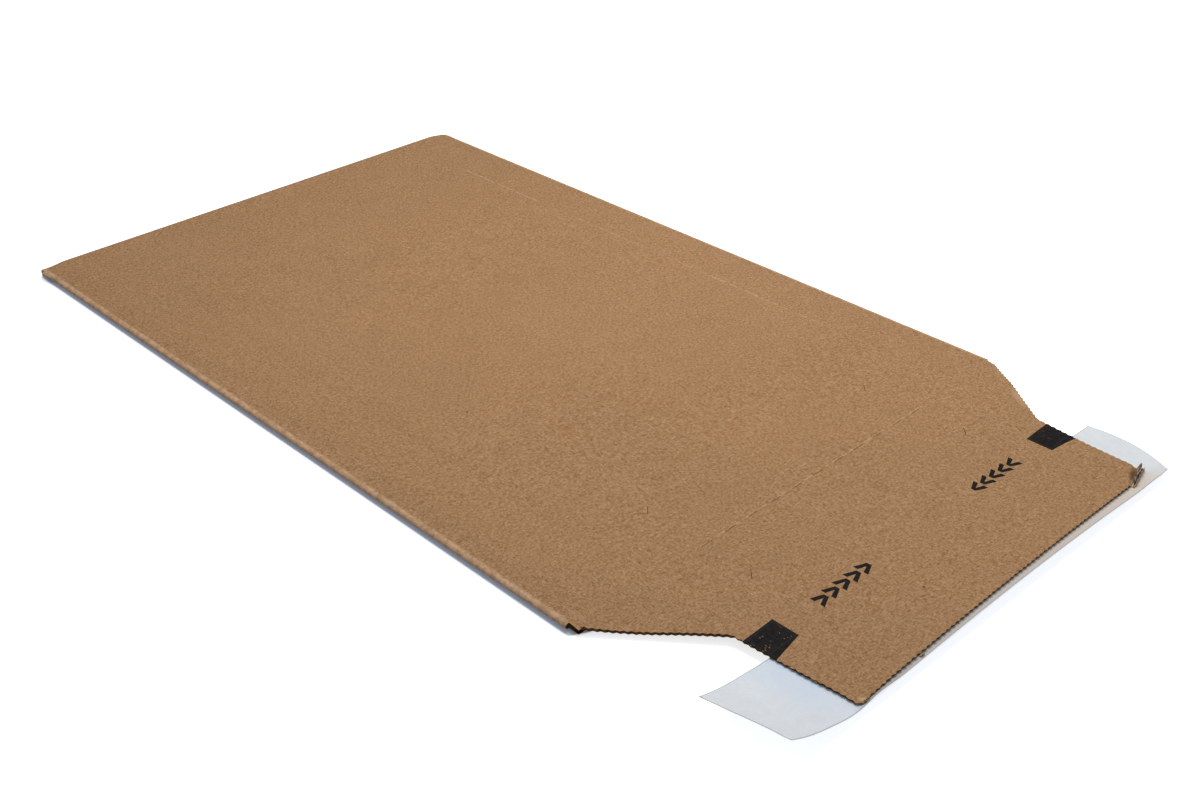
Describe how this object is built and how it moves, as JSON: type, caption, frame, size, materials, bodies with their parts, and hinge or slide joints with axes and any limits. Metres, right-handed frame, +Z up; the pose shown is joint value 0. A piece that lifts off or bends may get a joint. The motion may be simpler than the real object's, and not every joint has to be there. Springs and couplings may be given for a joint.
{
  "type": "cardboard envelope",
  "caption": "Flat mailing envelope folded from corrugated board, its closure flap open, with tear tape, printed arrowheads and an adhesive strip under release paper.",
  "frame": {"origin": "middle of the back face that the envelope lies on", "axes": "+Z up out of the front face, +Y towards the closed end, -Y towards the closure flap, +X to the right seen from above with the closed end at the top"},
  "size_m": [0.237, 0.4391, 0.015],
  "materials": {
    "kraft_board": "uncoated brown kraft facing with fine fibre grain",
    "glue": "dried dispersion glue",
    "black_ink": "matt black ink printed on the kraft facing",
    "tear_tape": "thin plastic tape",
    "adhesive": "pressure-sensitive hot-melt adhesive",
    "release_paper": "thin white silicone-coated paper"
  },
  "bodies": {
    "envelope": {"envelope_body": "kraft_board", "glue_lines": "glue"},
    "flap": {"closure_flap": "kraft_board", "printed_marks": "black_ink", "tear_tape": "tear_tape", "adhesive_strip": "adhesive", "release_paper": "release_paper"}
  },
  "joints": [
    {"name": "flap_crease", "type": "hinge", "parent": "envelope", "child": "flap", "pos_m": [0, -0.177, 0.0012], "axis": [1, 0, 0], "range_deg": [0, 180]}
  ]
}
